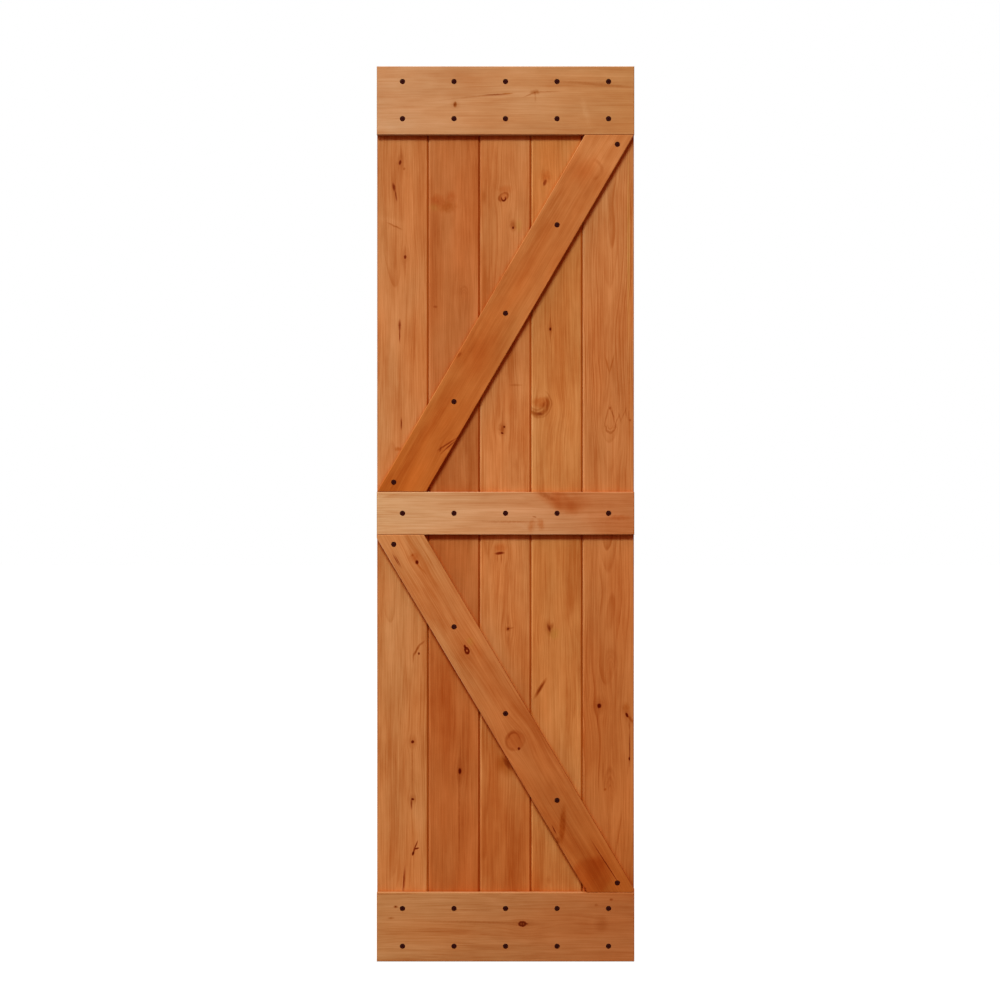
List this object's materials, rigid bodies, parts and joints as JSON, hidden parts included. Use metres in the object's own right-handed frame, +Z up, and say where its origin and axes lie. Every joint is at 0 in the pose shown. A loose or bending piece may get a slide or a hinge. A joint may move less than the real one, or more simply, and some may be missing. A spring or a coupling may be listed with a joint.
{
  "type": "sliding barn door",
  "caption": "Upright plank door leaf with rails and two sloping braces screwed to its front, to hang from an overhead sliding rail.",
  "frame": {"origin": "middle of the leaf's foot: half its width and half its thickness, on its lowest edge", "axes": "+Z up the leaf, +X to the right for someone who faces its front, +Y from the front with the rails and braces to the plain back"},
  "size_m": [0.614, 0.035, 2.134],
  "materials": {
    "plank_wood": "planed softwood, clear sealed, red-brown with knots, low sheen",
    "rail_wood": "planed softwood, clear sealed, pale orange-brown, low sheen",
    "brace_wood": "planed softwood, clear sealed, deeper red-brown, low sheen",
    "black_screw": "black, satin"
  },
  "bodies": {
    "root": {"plank_1": "plank_wood", "plank_2": "plank_wood", "plank_3": "plank_wood", "plank_4": "plank_wood", "plank_5": "plank_wood", "top_rail": "rail_wood", "middle_rail": "rail_wood", "bottom_rail": "rail_wood", "upper_brace": "brace_wood", "lower_brace": "brace_wood", "top_rail_screws": "black_screw", "middle_rail_screws": "black_screw", "bottom_rail_screws": "black_screw", "upper_brace_screws": "black_screw", "lower_brace_screws": "black_screw"}
  },
  "joints": []
}
